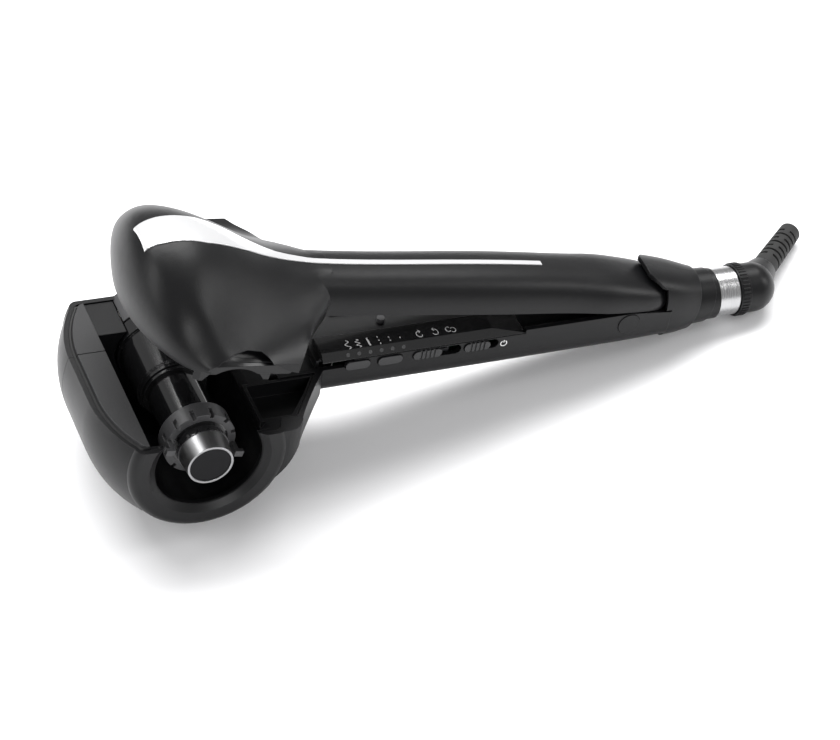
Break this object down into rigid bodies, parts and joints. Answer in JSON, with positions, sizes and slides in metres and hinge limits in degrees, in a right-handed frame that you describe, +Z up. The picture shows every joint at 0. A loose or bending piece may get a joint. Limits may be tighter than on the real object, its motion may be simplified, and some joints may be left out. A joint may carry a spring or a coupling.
{
  "type": "automatic hair curler",
  "caption": "Wand with a hinged saddle-shaped upper jaw over a drum-shaped head that holds a heated barrel, a winding rotor and a round side mouth; controls on the handle.",
  "frame": {"origin": "middle of the tool's outline on the surface that it lies on, lying on the belly of its head and the cord elbow, jaws open", "axes": "+Z up, +X from the head to the cord end, -Y the side with the controls and the round mouth"},
  "size_m": [0.323, 0.088, 0.1205],
  "materials": {
    "satin_black": "satin moulded black",
    "soft_black": "fine satin black",
    "gloss_black": "polished black",
    "grey_plastic": "heat resistant grey",
    "pad_rubber": "soft satin",
    "black_rubber": "flexible black",
    "ceramic_coat": "glossy ceramic coating",
    "aluminium": "machined",
    "steel": "brushed",
    "chrome": "mirror",
    "brass": "turned",
    "white_nylon": "natural nylon",
    "board_green": "solder mask",
    "led_clear": "tinted lens",
    "dark_part": "component casing"
  },
  "bodies": {
    "lower_half": {"lower_shell": "satin_black", "far_head_shell": "satin_black", "chamber_deck": "soft_black", "mouth_ring": "soft_black", "front_pad_near": "pad_rubber", "front_pad_far": "pad_rubber", "rim_seal": "black_rubber", "gear_cover": "grey_plastic", "spindle_tube": "steel", "barrel_tube": "ceramic_coat", "barrel_collar": "gloss_black", "heat_spreader": "aluminium", "heater_elements": "white_nylon", "thermal_fuse": "brass", "hair_guard_ring": "grey_plastic", "barrel_neck": "gloss_black", "barrel_end_cap": "grey_plastic", "barrel_end_disc": "grey_plastic", "barrel_end_screw": "steel", "gear_plate": "steel", "drive_motor": "steel", "motor_screws": "steel", "arm_deck": "soft_black", "control_fascia": "soft_black", "led_lenses": "led_clear", "key_switches": "dark_part", "direction_switch": "dark_part", "power_switch": "dark_part", "control_board": "board_green", "power_board": "board_green", "board_parts": "dark_part", "closing_switch": "dark_part", "casing_screws": "steel", "hinge_pin": "steel", "hinge_cap_near": "satin_black", "hinge_cap_far": "satin_black", "opening_spring": "steel", "rear_collar_near": "satin_black", "rear_collar_far": "satin_black", "steel_ring": "steel"},
    "upper_jaw": {"upper_cover": "satin_black", "upper_tray": "soft_black", "bumper_studs": "black_rubber", "tray_screws": "steel", "crown_trim": "chrome"},
    "rotor": {"rotor_sleeve": "gloss_black", "rotor_bushes": "brass", "winding_hook": "grey_plastic", "rotor_gear": "white_nylon"},
    "idler": {"idler_gear": "white_nylon"},
    "pinion": {"motor_pinion": "white_nylon"},
    "time_key": {"time_key": "gloss_black"},
    "heat_key": {"heat_key": "gloss_black"},
    "direction_slider": {"direction_slider": "gloss_black"},
    "power_slider": {"power_slider": "gloss_black"},
    "switch_plunger": {"switch_plunger": "white_nylon"},
    "cord_swivel": {"swivel_core": "satin_black", "swivel_ring": "satin_black", "cord_elbow": "satin_black", "strain_relief": "black_rubber"}
  },
  "joints": [
    {"name": "jaw_hinge", "type": "hinge", "parent": "lower_half", "child": "upper_jaw", "pos_m": [0.06265, 0, 0.02307], "axis": [0, -1, 0], "range_deg": [0, 9.4], "stiffness_Nm_per_rad": 0.25, "springref_deg": -34.38},
    {"name": "rotor_spin", "type": "hinge", "parent": "lower_half", "child": "rotor", "pos_m": [-0.12193, 0.02, 0.03964], "axis": [0, 1, 0], "continuous": true},
    {"name": "idler_spin", "type": "hinge", "parent": "lower_half", "child": "idler", "pos_m": [-0.11518, 0.038, 0.02252], "axis": [0, 1, 0], "continuous": true},
    {"name": "pinion_spin", "type": "hinge", "parent": "lower_half", "child": "pinion", "pos_m": [-0.12588, 0.038, 0.01708], "axis": [0, 1, 0], "continuous": true},
    {"name": "time_key_press", "type": "slide", "parent": "lower_half", "child": "time_key", "axis": [0, 1, 0], "range_m": [0, 0.0008], "stiffness_N_per_m": 400, "springref_m": -0.001},
    {"name": "heat_key_press", "type": "slide", "parent": "lower_half", "child": "heat_key", "axis": [0, 1, 0], "range_m": [0, 0.0008], "stiffness_N_per_m": 400, "springref_m": -0.001},
    {"name": "direction_slide", "type": "slide", "parent": "lower_half", "child": "direction_slider", "axis": [0.989, 0, -0.1478], "range_m": [0, 0.008]},
    {"name": "power_slide", "type": "slide", "parent": "lower_half", "child": "power_slider", "axis": [0.989, 0, -0.1478], "range_m": [0, 0.0034]},
    {"name": "plunger_press", "type": "slide", "parent": "lower_half", "child": "switch_plunger", "axis": [-0.1478, 0, -0.989], "range_m": [0, 0.001], "stiffness_N_per_m": 250, "springref_m": -0.001},
    {"name": "cord_swivel", "type": "hinge", "parent": "lower_half", "child": "cord_swivel", "pos_m": [0.11157, 0, 0.01212], "axis": [0.989, 0, -0.1478], "continuous": true}
  ],
  "couplings": [
    {"joint": "idler_spin", "follows": "rotor_spin", "ratio": -1.5556},
    {"joint": "pinion_spin", "follows": "rotor_spin", "ratio": 2.3333}
  ]
}
